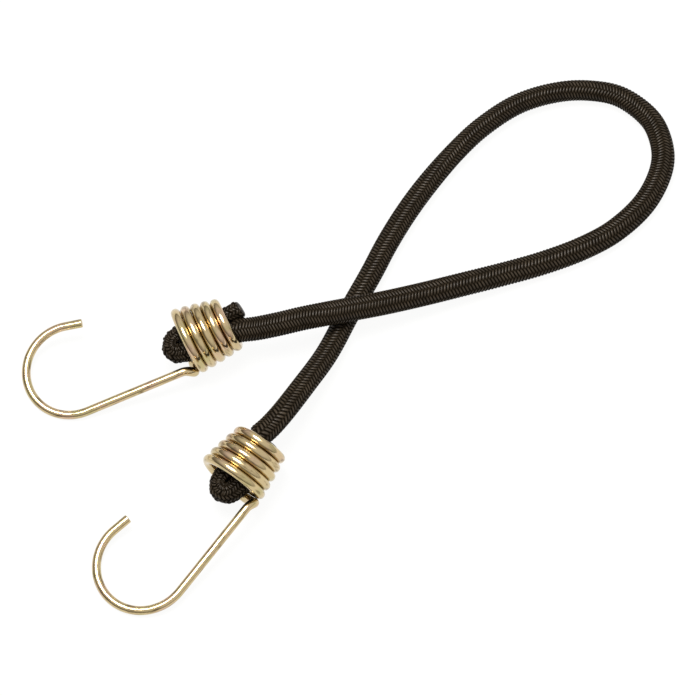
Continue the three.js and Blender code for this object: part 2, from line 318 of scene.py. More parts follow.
class Shader:
    """A node tree under construction: a material with a Principled surface, or the world."""

    def __init__(self, owner: bpy.types.Material | bpy.types.World) -> None:
        """Starts on a node tree.

        Args:
            owner: The material or world whose own tree it is.
        """
        owner.use_nodes = True
        self.owner = owner
        self.tree = owner.node_tree

    def node(self, kind: str, settings: Settings, sockets: Sockets) -> bpy.types.Node:
        """Adds a node.

        Args:
            kind: Type of the node.
            settings: The node's own settings, which are set first.
            sockets: Values or links of its inputs, by name or number.

        Returns:
            The new node.
        """
        made = self.tree.nodes.new(kind)
        for key, setting in settings.items():
            setattr(made, key, setting)
        self.feed(made, sockets)
        return made

    def feed(self, node: bpy.types.Node, sockets: Sockets) -> None:
        """Links or sets a node's inputs.

        Args:
            node: The node.
            sockets: Values or links of its inputs, by name or number.
        """
        for key, given in sockets.items():
            if isinstance(given, Value):
                self.tree.links.new(given.socket, node.inputs[key])
            else:
                node.inputs[key].default_value = given

    def surface(self, **sockets: object) -> bpy.types.Material:
        """Feeds the material's Principled surface.

        Args:
            sockets: Values or links of its inputs, by name with each space as an underscore.

        Returns:
            The finished material.
        """
        named = {key.replace("_", " "): given for key, given in sockets.items()}
        self.feed(self.tree.nodes["Principled BSDF"], named)
        return self.owner

    def place(self) -> Value:
        """Coordinates of the object, which sits at the origin of the frame."""
        return Value(self, self.node("ShaderNodeTexCoord", {}, {}).outputs["Object"])

    def noted(self, name: str, output: str = "Fac") -> Value:
        """What a piece keeps for each point under a name."""
        node = self.node("ShaderNodeAttribute", {"attribute_name": name}, {})
        return Value(self, node.outputs[output])

    def stretched(self, vector: Value, by: Triple) -> Value:
        """A vector with each part multiplied."""
        node = self.node("ShaderNodeVectorMath", {"operation": "MULTIPLY"}, {0: vector, 1: by})
        return Value(self, node.outputs[0])

    def noise(self, vector: Value, grain: Grain) -> Value:
        """A grain's whole noise, from 0 to 1."""
        sockets = {"Vector": vector, "Scale": grain.scale, "Detail": grain.detail}
        return Value(self, self.node("ShaderNodeTexNoise", {}, sockets).outputs[0])

    def patches(self, vector: Value, grain: Grain) -> Value:
        """The band of a grain that shows, from 0 below it to 1 above it."""
        return self.noise(vector, grain).band(grain.low, grain.high)

    def blend(self, share: Value | float, first: Colour | Value, last: Colour | Value) -> Value:
        """A colour from first at share 0 to last at share 1."""
        # The colours of a Mix node are its inputs 6 and 7, and its output 2
        node = self.node("ShaderNodeMix", {"data_type": "RGBA"}, {0: share, 6: first, 7: last})
        return Value(self, node.outputs[2])

    def bump(self, height: Value, strength: float, depth: float) -> Value:
        """Normals of a surface raised by a height from 0 to 1, over a depth in metres."""
        sockets = {"Strength": strength, "Distance": depth, "Height": height}
        return Value(self, self.node("ShaderNodeBump", {}, sockets).outputs[0])


@dataclass(frozen=True)
class PlatedSteel:
    """Bright steel wire under a yellow zinc coat, with tints that drift along it, fine drawing lines, and
    dark streaks that are partly wire marks and partly painted dark reflection.

    A share says how far a patch draws the colour to its own. What lies along the wire is drawn out: its
    noise is multiplied by the last number along the wire, and by the first two across it.
    """

    straw: Colour = colour(0.6, 0.475, 0.265)
    rose: Colour = colour(0.63, 0.44, 0.31)
    rose_patches: Grain = Grain(scale=130.0, detail=2.0, low=0.48, high=0.68)
    rose_share: float = 0.8
    olive: Colour = colour(0.475, 0.42, 0.2)
    olive_patches: Grain = Grain(scale=110.0, detail=2.0, low=0.52, high=0.72)
    olive_shrunk: Triple = (1.7, 1.7, 1.7)
    olive_share: float = 0.7
    scuff_and_dark_reflection: Colour = colour(0.13, 0.082, 0.036)
    scuff_patches: Grain = Grain(scale=620.0, detail=4.0, low=0.64, high=0.74)
    scuff_share: float = 0.7
    streaks: Grain = Grain(scale=1.0, detail=4.0, low=0.53, high=0.69)
    streaks_drawn: Triple = (1.6, 1.6, 0.22)
    streak_share: float = 0.62
    lines: Grain = Grain(scale=3.0, detail=3.0, low=0.42, high=0.6)
    lines_drawn: Triple = (5.0, 5.0, 0.25)
    line_strength: float = 0.05
    line_depth: float = 0.05 * MM
    roughness: float = 0.11
    line_roughness: float = 0.06
    scuff_roughness: float = 0.2

    def material(self) -> bpy.types.Material:
        """The finish as a material.

        Slow patches tint the straw colour with rose and olive. Dark streaks follow the wire, partly drawing
        marks and partly painted dark reflection, as do fine lines, and small dark scuffs show on the lines.

        Returns:
            The new material.
        """
        shader = Shader(bpy.data.materials.new("yellow_zinc_plate"))
        place = shader.place()
        rosy = shader.patches(place, self.rose_patches)
        green = shader.patches(shader.stretched(place, self.olive_shrunk), self.olive_patches)
        lay = shader.noted("lay", "Vector")
        lines = shader.noise(shader.stretched(lay, self.lines_drawn), self.lines)
        streak = shader.patches(shader.stretched(lay, self.streaks_drawn), self.streaks)
        worn = shader.patches(place, self.scuff_patches) * lines.band(self.lines.low, self.lines.high)
        rosy_straw = shader.blend(rosy * self.rose_share, self.straw, self.rose)
        tinted = shader.blend(green * self.olive_share, rosy_straw, self.olive)
        dark = worn * self.scuff_share + streak * self.streak_share
        return shader.surface(
            # Painted dark reflection and real wear: the streaks along the wire and the scuffs draw the
            # colour to one dark brown
            Base_Color=shader.blend(dark, tinted, self.scuff_and_dark_reflection),
            Metallic=1.0,
            Roughness=self.roughness + self.line_roughness * lines + self.scuff_roughness * worn,
            Normal=shader.bump(lines, self.line_strength, self.line_depth),
        )


@dataclass(frozen=True)
class BraidedYarn:
    """Dark textile yarn with a dull gloss on the crests of its strokes, and painted shade, almost black, in
    the grooves between them.

    The shares say how far a stroke's own tone, its filaments, a slow drift and the fuzz lighten the yarn.
    The bands give the heights, as shares of a stroke's crest, over which the yarn's colour comes up out of
    the painted groove shade, and over which the gloss comes up.
    """

    painted_groove_shade: Colour = colour(0.0030, 0.0021, 0.0013)
    dark: Colour = colour(0.0140, 0.0097, 0.0055)
    light: Colour = colour(0.0410, 0.0297, 0.0180)
    sheen: Colour = colour(1.0, 0.85, 0.65)
    filaments: float = 4.0
    drift: Grain = Grain(scale=140.0, detail=3.0, low=0.36, high=0.64)
    fuzz: Grain = Grain(scale=2600.0, detail=2.0)
    tone_share: float = 0.4
    filament_share: float = 0.16
    drift_share: float = 0.34
    fuzz_share: float = 0.1
    groove_shade_band: Pair = (0.3, 0.9)
    gloss_band: Pair = (0.55, 0.97)
    gloss: float = 0.18
    gloss_index: float = 2.0
    shine: float = 0.04
    roughness: float = 0.34
    groove_roughness: float = 0.6
    fuzz_roughness: float = 0.1
    nap_strength: float = 0.15
    nap_depth: float = 0.06 * MM

    def material(self) -> bpy.types.Material:
        """The finish as a material.

        Each stroke has its own tone, and filament lines along it: a sine of the place across the stroke.
        Its colour darkens into the grooves as painted shade, and a thin gloss lies on the crests.

        Returns:
            The new material.
        """
        shader = Shader(bpy.data.materials.new("braided_yarn"))
        height = shader.noted("height")
        tone = shader.noted("tone")
        line = 0.5 + 0.5 * (shader.noted("side") * (self.filaments * FULL_TURN)).sine()
        drift = shader.patches(shader.place(), self.drift)
        fuzz = shader.noise(shader.place(), self.fuzz)
        stroke = self.tone_share * tone + self.filament_share * line
        share = stroke + self.drift_share * drift + self.fuzz_share * fuzz
        yarn = shader.blend(share, self.dark, self.light)
        return shader.surface(
            # Painted shade: the colour falls to near black in the grooves, where the strokes shade each
            # other
            Base_Color=shader.blend(height.band(*self.groove_shade_band), self.painted_groove_shade, yarn),
            Roughness=self.roughness + self.groove_roughness * (1.0 - height) + self.fuzz_roughness * fuzz,
            Normal=shader.bump(line + fuzz, self.nap_strength, self.nap_depth),
            Coat_Weight=self.gloss * height.band(*self.gloss_band),
            Coat_Roughness=self.roughness,
            Coat_IOR=self.gloss_index,
            Specular_IOR_Level=self.shine,
            Specular_Tint=self.sheen,
        )


@dataclass(frozen=True)
class CutRubber:
    """Pale natural rubber, cut into square strands and dusted with talc."""

    pale: Colour = colour(0.55, 0.45, 0.28)
    dusty: Colour = colour(0.66, 0.60, 0.48)
    dust_patches: Grain = Grain(scale=700.0, detail=4.0, low=0.4, high=0.65)
    roughness: float = 0.55
    dust_roughness: float = 0.3
    dust_strength: float = 0.2
    dust_depth: float = 0.05 * MM

    def material(self) -> bpy.types.Material:
        """The finish as a material, with talc in patches over a matt strand.

        Returns:
            The new material.
        """
        shader = Shader(bpy.data.materials.new("cut_rubber"))
        dust = shader.patches(shader.place(), self.dust_patches)
        return shader.surface(
            Base_Color=shader.blend(dust, self.pale, self.dusty),
            Roughness=self.roughness + self.dust_roughness * dust,
            Normal=shader.bump(dust, self.dust_strength, self.dust_depth),
        )


@dataclass(frozen=True)
class MeltedYarn:
    """Yarn ends melted into one dark crust, glossy where it ran together."""

    crust: Colour = colour(0.012, 0.009, 0.007)
    scorched: Colour = colour(0.035, 0.026, 0.018)
    scorch_patches: Grain = Grain(scale=900.0, detail=4.0, low=0.42, high=0.62)
    roughness: float = 0.3
    scorch_roughness: float = 0.35
    scorch_strength: float = 0.5
    scorch_depth: float = 0.12 * MM

    def material(self) -> bpy.types.Material:
        """The finish as a material, a glossy crust with rougher scorched patches.

        Returns:
            The new material.
        """
        shader = Shader(bpy.data.materials.new("melted_yarn"))
        scorch = shader.patches(shader.place(), self.scorch_patches)
        return shader.surface(
            Base_Color=shader.blend(scorch, self.crust, self.scorched),
            Roughness=self.roughness + self.scorch_roughness * scorch,
            Normal=shader.bump(scorch, self.scorch_strength, self.scorch_depth),
        )


# Wire hooks


@dataclass(frozen=True)
class Placement:
    """Where a hook lies: its origin and the frame's directions of its own X, Y and Z."""

    at: Array
    forward: Array
    beside: Array
    top: Array

    @classmethod
    def from_swivel(cls, joint: dict, roll_deg: float) -> "Placement":
        """The frame of a hook, from the joint that it turns on.

        X is the joint's axis. Y and Z are the level and the upward direction square to it, turned by the
        roll.

        Args:
            joint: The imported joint.
            roll_deg: How far the hook is rolled about its own X at rest.

        Returns:
            The hook's placement.
        """
        forward = unit(np.array(joint["axis"], float))
        level = unit(np.cross(UP, forward))
        upward = np.cross(forward, level)
        roll = math.radians(roll_deg)
        beside = math.cos(roll) * level + math.sin(roll) * upward
        top = math.cos(roll) * upward - math.sin(roll) * level
        return cls(np.array(joint["pos_m"], float), forward, beside, top)

    def way(self, local: Array) -> Array:
        """Directions of the hook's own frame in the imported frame."""
        return local @ np.stack([self.forward, self.beside, self.top])

    def points(self, local: Array) -> Array:
        """Points of the hook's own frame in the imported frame."""
        return self.at + self.way(local)


@dataclass(frozen=True)
class WireHook:
    """One wire hook: a tip, a round bend and a shank, then an elbow into the coil that grips the cord.

    In its own frame the coil's axis is X, towards the bend, and the shank lies at +Y.
    """

    shank_inset: float
    wire_radius: float = 1.6 * MM
    coil_wire_radius: float = 1.79 * MM
    coil_turns: float = 5.25
    coil_pitch: float = 3.62 * MM
    coil_radius_cord_end: float = 8.35 * MM
    coil_flare: float = 2.85 * MM
    coil_taper_power: float = 1.4
    elbow_radius: float = 4.2 * MM
    elbow_handle_share: float = 0.55
    shank_length: float = 41.2 * MM
    bend_radius: float = 16.85 * MM
    bend_sweep_deg: float = 192.0
    tip_length: float = 6.4 * MM
    cut_round: float = 0.35 * MM
    sides: int = 32
    cut_steps: int = 6
    straight_steps: int = 24
    bend_steps: int = 96
    elbow_steps: int = 28
    steps_per_turn: int = 72

    @property
    def coil_length(self) -> float:
        """Length of the coil along its axis."""
        return self.coil_turns * self.coil_pitch

    @property
    def coil_radius_hook_end(self) -> float:
        """Radius of the wire's middle where the coil starts, beside the shank."""
        return self.coil_radius_cord_end + self.coil_flare

    def coil(self, turn: Array) -> tuple[Array, Array]:
        """The middle line of the coil.

        The coil is a helix on a tapered barrel: x falls by the pitch each turn, the radius shrinks by a
        power of the turn towards the cord end, and the angle about X falls by a full turn each turn.

        Args:
            turn: Turns from the coil's hook end, one for each point.

        Returns:
            Points of the line, and their directions away from the coil's axis.
        """
        wound = (turn / self.coil_turns) ** self.coil_taper_power
        radius = self.coil_radius_hook_end - self.coil_flare * wound
        angle = -turn * FULL_TURN
        out = np.stack([np.zeros_like(turn), np.cos(angle), np.sin(angle)], axis=1)
        points = radius[:, None] * out
        points[:, 0] = -turn * self.coil_pitch
        return points, out

    def line(self) -> tuple[Array, Array]:
        """The wire's middle line from the tip to the coil's far end.

        The tip and the shank are straight, the bend is an arc, and the elbow is a cubic curve between the
        shank and the coil, with its two handles along them.

        Returns:
            Points of the line, and an outward side at each.
        """
        sweep = math.radians(self.bend_sweep_deg)
        shank_side = self.coil_radius_hook_end - self.shank_inset
        centre = np.array([self.shank_length, shank_side - self.bend_radius, 0.0])
        angle = np.linspace(sweep, 0.0, self.bend_steps)
        bend_out = np.stack([np.sin(angle), np.cos(angle), np.zeros_like(angle)], axis=1)
        bend = centre + self.bend_radius * bend_out
        tip_way = np.array([math.cos(sweep), -math.sin(sweep), 0.0])
        tip_end = bend[0] + self.tip_length * tip_way
        tip = mixed(tip_end, bend[0], np.linspace(0.0, 1.0, self.straight_steps)[:-1])

        first_turn = math.asin(self.elbow_radius / self.coil_radius_hook_end) / FULL_TURN
        turn = np.linspace(first_turn, self.coil_turns, round(self.coil_turns * self.steps_per_turn))
        coil, coil_out = self.coil(turn)
        coil_way = unit(coil[1] - coil[0])
        handle = self.elbow_radius * self.elbow_handle_share
        shank_end = np.array([coil[0, 0] + self.elbow_radius, shank_side, 0.0])
        knee = shank_end - np.array([handle, 0.0, 0.0])
        ankle = coil[0] - handle * coil_way
        t = np.linspace(0.0, 1.0, self.elbow_steps)[:-1, None]
        elbow = (
            (1.0 - t) ** 3 * shank_end
            + 3.0 * (1.0 - t) ** 2 * t * knee
            + 3.0 * (1.0 - t) * t**2 * ankle
            + t**3 * coil[0]
        )
        shank = mixed(bend[-1], shank_end, np.linspace(0.0, 1.0, self.straight_steps)[1:-1])
        side = np.array([0.0, 1.0, 0.0])
        outward = [
            np.repeat(bend_out[:1], len(tip), axis=0),
            bend_out,
            np.repeat(side[None], len(shank), axis=0),
            mixed(side, coil_out[0], t[:, 0]),
            coil_out,
        ]
        return np.vstack([tip, bend, shank, elbow, coil]), np.vstack(outward)

    @staticmethod
    def elbow_start(line: Array, along: Array) -> float:
        """Distance from the tip at which the wire leaves the hook's own plane."""
        lifted = np.abs(line[:, 2]) > 0.0
        return float(along[np.argmax(lifted)])

    def build(self, name: str, placement: Placement) -> bpy.types.Object:
        """The wire as one bar with rounded cut ends.

        A round section is carried along the middle line. Near each end its radius follows a quarter circle,
        so the cut edge is rounded, and the lowest points are held on the plane that the hook rests on.

        Args:
            name: Name of the piece.
            placement: Where the hook lies.

        Returns:
            The new piece.
        """
        line, outward = self.line()
        along = travelled(line)
        rounding = self.cut_round * (1.0 - np.cos(np.linspace(0.0, math.pi / 2.0, self.cut_steps)))
        inside = along[(along > self.cut_round) & (along < along[-1] - self.cut_round)]
        stations = np.concatenate([rounding, inside, along[-1] - rounding[::-1]])
        at = read_at(stations, along, line)
        way = unit(read_at(stations, along, np.gradient(line, along, axis=0)))
        out = read_at(stations, along, outward)
        out = unit(out - np.sum(out * way, axis=1, keepdims=True) * way)
        across = np.cross(way, out)

        depth = np.clip(np.minimum(stations, along[-1] - stations), 0.0, self.cut_round)
        fillet = np.sqrt(np.clip(self.cut_round**2 - (self.cut_round - depth) ** 2, 0.0, None))
        coiled = ease((stations - self.elbow_start(line, along)) / self.elbow_radius)
        radius = self.wire_radius - self.cut_round + fillet
        radius = radius + (self.coil_wire_radius - self.wire_radius) * coiled
        section = round_section(self.sides)
        reach = radius[:, None, None] * section[None]
        local = at[:, None] + reach[..., :1] * out[:, None] + reach[..., 1:] * across[:, None]
        points = placement.points(local)
        points[..., 2] = np.maximum(points[..., 2], 0.0)

        last = (len(stations) - 1) * self.sides
        ends = [list(range(self.sides))[::-1], list(range(last, last + self.sides))]
        piece = new_piece(name, points, skin(len(stations), self.sides).tolist(), ends)
        turned = np.broadcast_to(section, (len(stations), self.sides, 2))
        run = np.broadcast_to(stations[:, None, None] / MM, (len(stations), self.sides, 1))
        note(piece, "lay", np.concatenate([turned, run], axis=2).reshape(-1, 3))
        return piece


# Cord


@dataclass(frozen=True)
class DoubledEnd:
    """How the cord is doubled in one coil.

    The side is +1 where the cord leaves on the shank's side of the coil, and -1 where it leaves on the
    other. The mouth inset draws the leaving run in towards the coil's axis. The lean draws the fold out on
    the cord's side and flattens it on the tail's side.
    """

    roll_deg: float
    shank_inset: float
    side: int
    tail_reach: float
    mouth_inset: float
    lean: float


DOUBLED_ENDS = {
    End.A: DoubledEnd(
        roll_deg=-9.9,
        shank_inset=1.2 * MM,
        side=1,
        tail_reach=5.2 * MM,
        mouth_inset=0.0,
        lean=0.38,
    ),
    End.B: DoubledEnd(
        roll_deg=1.3,
        shank_inset=0.4 * MM,
        side=-1,
        tail_reach=0.6 * MM,
        mouth_inset=0.8 * MM,
        lean=0.08,
    ),
}

# Free cord from coil A to coil B, in millimetres: x, y, and how far it is lifted off the plane
ROUTE = [
    [37.4, 48.3, 10.4], [46.2, 50.0, 11.0], [53.4, 51.9, 11.1], [60.8, 53.8, 10.7], [71.7, 57.0, 9.1],
    [82.9, 60.4, 7.2], [97.7, 65.5, 4.7], [112.8, 71.0, 2.4], [127.9, 76.2, 0.8], [143.4, 81.5, 0.1],
    [159.2, 88.2, 0], [171.6, 95.9, 0], [184.1, 109.3, 0], [190.9, 126.2, 0], [189.6, 139.6, 0],
    [185.6, 147.2, 0], [175.5, 155.6, 0], [164.4, 158.1, 0], [152.8, 157.5, 0], [137.2, 152.3, 0],
    [122.8, 141.8, 0], [111.8, 130.1, 0], [100.7, 115.5, 0], [92.6, 102.9, 0], [85.5, 89.8, 0],
    [79.6, 77.1, 0], [71.4, 60.6, 0.1], [63.1, 42.2, 2.0], [54.5, 26.6, 6.2], [46.7, 13.4, 9.8],
    [42.6, 8.1, 10.3],
]

# How the free cord lies: share of its length, degrees that its oval section rocks, closeness of its strokes
LAY = [
    [0.0, 0.0, 1.19], [0.06, 6.0, 1.19], [0.08, 26.0, 1.19], [0.17, 26.0, 0.97], [0.24, 4.0, 0.97],
    [0.33, 22.0, 0.97], [0.38, 30.0, 0.99], [0.42, 22.0, 1.0], [0.48, 20.0, 1.0], [0.52, 38.0, 1.0],
    [0.57, 56.0, 1.0], [0.65, 62.0, 0.98], [0.69, 47.0, 0.98], [0.72, 33.0, 0.98], [0.77, 30.0, 0.98],
    [0.82, 36.0, 0.95], [0.92, 38.0, 0.89], [0.96, 26.0, 0.88], [1.0, 8.0, 0.88],
]


@dataclass(frozen=True)
class Braid:
    """The interlaced yarns of the sheath.

    Yarns show as slanted strokes in columns along the cord. Neighbouring columns slant opposite ways and
    are half a stroke apart, so each stroke dives between two strokes of the next column. The slant is in
    strokes for each column, a stroke's reach to either end in columns, and its width in strokes. The jumble
    is the share of its height that a stroke may lack, and the stray is how far it may shift with that.
    """

    columns: int = 10
    stroke: float = 1.28 * MM
    slant: float = 0.8
    reach: float = 0.74
    width: float = 0.74
    depth: float = 0.29 * MM
    jumble: float = 0.0
    stray: float = 0.5

    def relief(self, column: Array, phase: Array) -> tuple[Array, Array, Array, Array]:
        """Shape of the braid's surface.

        A stroke is a half round across, with a gap to the next one, and falls off as a parabola towards its
        two ends. Jumbled strokes differ in height and stray along the cord. At each point the highest
        stroke of its own and the two neighbouring columns shows.

        Args:
            column: Place round the cord, in columns.
            phase: Place along the cord, in strokes.

        Returns:
            The height from 0 to 1, the height as a share of the stroke's own crest, the place across the
            stroke in strokes, and the yarn's tone.
        """
        height = np.full(np.broadcast(column, phase).shape, -1.0)
        crown = np.zeros_like(height)
        side = np.zeros_like(height)
        tone = np.zeros_like(height)
        for neighbour in (-1.0, 0.0, 1.0):
            index = np.floor(column) + neighbour
            odd = np.mod(index, 2.0)
            offset = column - index - 0.5
            place = phase + (1.0 - 2.0 * odd) * self.slant * offset + 0.5 * odd
            yarn = scatter(np.mod(index, self.columns), np.rint(place))
            across = place - np.rint(place) + self.stray * self.jumble * (yarn - 0.5)
            crest = np.sqrt(np.clip(1.0 - (2.0 * across / self.width) ** 2, 0.0, 1.0))
            raised = crest * np.clip(1.0 - (offset / self.reach) ** 2, 0.0, 1.0)
            found = raised * (1.0 - self.jumble * (1.0 - yarn))
            higher = found > height
            height = np.where(higher, found, height)
            crown = np.where(higher, raised, crown)
            side = np.where(higher, across, side)
            tone = np.where(higher, yarn, tone)
        return np.clip(height, 0.0, 1.0), crown, side, tone


@dataclass(frozen=True)
class Spine:
    """Stations down the middle of the cord.

    Each has a point, an upward side, the half width and half height of the section, how far the section
    rocks, the braid's phase in strokes, the room on the inner side of a fold, and the distance from the
    mouth of coil A.
    """

    at: Array
    up: Array
    half: Array
    rock: Array
    phase: Array
    room: Array
    distance: Array

    def cut(self, first: float, last: float, stations: int) -> "Spine":
        """The stretch between two distances.

        Args:
            first: Distance at which it starts.
            last: Distance at which it ends.
            stations: Number of stations, evenly spaced.

        Returns:
            The stretch as a spine of its own.
        """
        where = np.linspace(first, last, stations)
        rows = [read_at(where, self.distance, known) for known in (self.at, self.up, self.half)]
        single = [np.interp(where, self.distance, known) for known in (self.rock, self.phase, self.room)]
        return Spine(*rows, *single, where)

    def rings(self, shares: Array, inset: Array, creased: bool = False) -> Array:
        """Rings of points round every station.

        A point is the station plus its share of the half width along the section's wide side, and its share
        of the half height along the other, with both half sizes drawn in by the inset. On the inner side of
        a fold the section is either cut flat at the room it has, as two pressed runs are, or narrowed to
        fit it.

        Args:
            shares: Places on the section as shares of the half sizes, one row each.
            inset: How far in from the full section, for each station and place, or one for all.
            creased: Whether the inner side is cut flat, and not narrowed.

        Returns:
            Points, by station and place.
        """
        way = unit(np.gradient(self.at, self.distance, axis=0))
        across = unit(np.cross(self.up, way))
        over = np.cross(way, across)
        cosine = np.cos(self.rock)[:, None]
        sine = np.sin(self.rock)[:, None]
        wide = across * cosine + over * sine
        tall = over * cosine - across * sine
        full = self.half[:, :1] - inset
        room = self.room[:, None]
        narrowed = np.where(shares[:, 0] > 0.0, np.minimum(full, room - inset), full) * shares[:, 0]
        x = np.minimum(full * shares[:, 0], room) if creased else narrowed
        y = (self.half[:, 1:] - inset) * shares[:, 1]
        return self.at[:, None] + x[..., None] * wide[:, None] + y[..., None] * tall[:, None]


@dataclass(frozen=True)
class ElasticCord:
    """The cord: a braided sheath over a bundle of square rubber strands, doubled back inside each coil.

    The free cord, the gripped runs, the fold and the tail each have the half width and the half height of
    their own section.
    """

    coil_length: float
    placements: dict[End, Placement]
    braid: Braid = field(default_factory=Braid)
    bunched: Braid = Braid(columns=14, reach=0.66, width=0.85, depth=0.65 * MM, jumble=0.6)
    diameter: float = 8.4 * MM
    free_half: Pair = (4.57 * MM, 4.04 * MM)
    sheath_wall: float = 0.8 * MM
    grip_half: Pair = (3.4 * MM, 4.4 * MM)
    fold_half: Pair = (4.4 * MM, 4.9 * MM)
    tail_half: Pair = (3.9 * MM, 4.4 * MM)
    run_press: float = 0.3 * MM
    crease_gap: float = 0.05 * MM
    fold_hole: float = 0.45 * MM
    hole_reach: float = 6.0 * MM
    fold_radius: float = 2.6 * MM
    fold_reach: float = 8.1 * MM
    tail_spread: float = 0.1
    tail_bow: float = 2.5
    tail_round: float = 1.3 * MM
    tail_round_share: float = 0.8
    tail_seam: float = 0.25 * MM
    coil_bulge: float = 1.5 * MM
    mouth_straight: float = 0.1 * MM
    swell_length: float = 1.6 * MM
    open_room: float = 20.0 * MM
    fold_strokes: float = 2.0
    strand_side: float = 0.95 * MM
    strand_gap: float = 0.18 * MM
    strand_clearance: float = 0.1 * MM
    bore_sides: int = 12
    sides: int = 60
    rings_per_stroke: int = 9
    inner_step: float = 4.0 * MM
    doubled_step: float = 1.0 * MM
    curve_steps: int = 60
    smoothing: int = 12
    still_share: float = 0.04

    @property
    def run_offset(self) -> float:
        """How far each of the two gripped runs lies from the coil's axis."""
        return self.grip_half[0] - self.run_press / 2.0

    @property
    def ring_step(self) -> float:
        """Distance between the rings of the free sheath."""
        return self.braid.stroke / self.rings_per_stroke

    @property
    def lying_height(self) -> float:
        """Height of the cord's middle where it lies on the plane."""
        return self.diameter / 2.0 * math.cos(math.pi / self.bore_sides)

    def doubled(self, end: End) -> tuple[Array, Array, Array, Array]:
        """The doubled run inside one coil, from the cut tail round the fold to the mouth.

        The tail bows away from the coil's axis. Two runs lie side by side and bulge in the coil, by a half
        sine along it. A half circle about the axis joins them, drawn out on one side by the lean. The cut
        edge of the tail is rounded over.

        Args:
            end: Which end of the cord.

        Returns:
            Points in the frame, half sizes of the section, strokes of braid per stroke of free cord, and
            the room between the run and the crease.
        """
        shape = DOUBLED_ENDS[end]
        mouth = -self.coil_length
        radius = self.fold_radius
        centre = self.fold_reach - radius - self.fold_half[0]
        t = np.linspace(0.0, 1.0, self.curve_steps)
        reach = shape.tail_reach + self.tail_seam
        bow = self.tail_spread * reach * (1.0 - t) ** self.tail_bow
        tail = np.stack([mouth - reach * (1.0 - t), -self.run_offset - bow], axis=1)
        bulge = self.coil_bulge * np.sin(math.pi * t)
        swollen = np.stack([np.zeros_like(t), bulge / 2.0], axis=1)
        run = mixed([mouth, self.run_offset - shape.mouth_inset], [centre, radius], t) + swollen
        inward = mixed([mouth, -self.run_offset], [centre, -radius], t) - swollen
        angle = t * math.pi
        drawn = radius * np.sin(angle) * (1.0 - shape.lean * np.cos(angle))
        fold = np.stack([centre + drawn, -radius * np.cos(angle)], axis=1)
        flat = np.vstack([tail[:-1], inward[:-1], fold[:-1], run[::-1]])
        local = np.stack([flat[:, 0], shape.side * flat[:, 1], np.zeros(len(flat))], axis=1)
        pressed = mixed(self.grip_half, self.fold_half, t) + bulge[:, None] / 2.0
        round_fold = np.repeat(np.array([self.fold_half]), len(t) - 1, axis=0)
        flared = mixed(self.tail_half, self.grip_half, ease(t))
        short = np.clip(1.0 - t * reach / self.tail_round, 0.0, 1.0)
        rounded = 1.0 - (1.0 - self.tail_round_share) * (1.0 - np.sqrt(1.0 - short**2))
        half = np.vstack([(flared * rounded[:, None])[:-1], pressed[:-1], round_fold, pressed[::-1]])
        plain = np.ones(len(t) - 1)
        rate = np.concatenate([plain, plain, self.fold_strokes * plain, np.ones(len(t))])
        from_axis = np.hypot(np.maximum(flat[:, 0] - centre, 0.0), flat[:, 1])
        hole = self.fold_hole * ease(1.0 + (flat[:, 0] - centre) / self.hole_reach)
        return self.placements[end].points(local), half, rate, from_axis - self.crease_gap - hole

    def spine(self) -> Spine:
        """The whole cord from tail A to tail B, with distance 0 at the mouth of coil A.

        The free cord is a smooth curve through the route that leaves each coil along its axis. Its section
        swells from the gripped size to the free size outside each mouth, and past that its middle is never
        lower than the half height of its rocked section.

        Returns:
            The spine.
        """
        end_a, half_a, rate_a, room_a = self.doubled(End.A)
        end_b, half_b, rate_b, room_b = (values[::-1] for values in self.doubled(End.B))
        up_a = self.placements[End.A].top
        up_b = self.placements[End.B].top
        inside_a = end_a[-1] + self.coil_length * self.placements[End.A].forward
        inside_b = end_b[0] + self.coil_length * self.placements[End.B].forward
        lying = np.array(ROUTE, float) * MM + np.array([0.0, 0.0, self.lying_height])
        through = np.vstack([inside_a, end_a[-1], lying, end_b[0], inside_b])
        free = curve_through(through, self.curve_steps)[self.curve_steps : -self.curve_steps]

        gone = travelled(free)
        length = gone[-1]
        from_mouth = np.minimum(gone, length - gone)
        swollen = ease((from_mouth - self.mouth_straight) / self.swell_length)
        half = mixed(self.grip_half, self.free_half, swollen)
        nearer = np.where((gone < length / 2.0)[:, None], up_a, up_b)
        upright = ease(from_mouth / (self.mouth_straight + self.swell_length))[:, None]
        up = nearer + (UP - nearer) * upright
        shares, degrees, closeness = np.array(LAY).T
        rock = np.interp(gone / length, shares, np.radians(degrees))
        rate = np.interp(gone / length, shares, closeness)
        lowest = np.hypot(half[:, 0] * np.sin(rock), half[:, 1] * np.cos(rock))
        lying_flat = from_mouth > self.mouth_straight + self.swell_length
        free[:, 2] = np.where(lying_flat, np.maximum(free[:, 2], lowest), free[:, 2])

        at = np.vstack([end_a[:-1], free, end_b[1:]])
        ups = np.vstack([np.tile(up_a, (len(end_a) - 1, 1)), up, np.tile(up_b, (len(end_b) - 1, 1))])
        halves = np.vstack([half_a[:-1], half, half_b[1:]])
        rocks = np.concatenate([np.zeros(len(end_a) - 1), rock, np.zeros(len(end_b) - 1)])
        rates = np.concatenate([rate_a[:-1], rate, rate_b[1:]])
        rooms = np.concatenate([room_a[:-1], np.full(len(free), self.open_room), room_b[1:]])
        smooth = np.hstack([at, ups, rocks[:, None], rates[:, None]])
        return self.evened(smooth, np.hstack([halves, rooms[:, None]]), len(end_a) - 1)

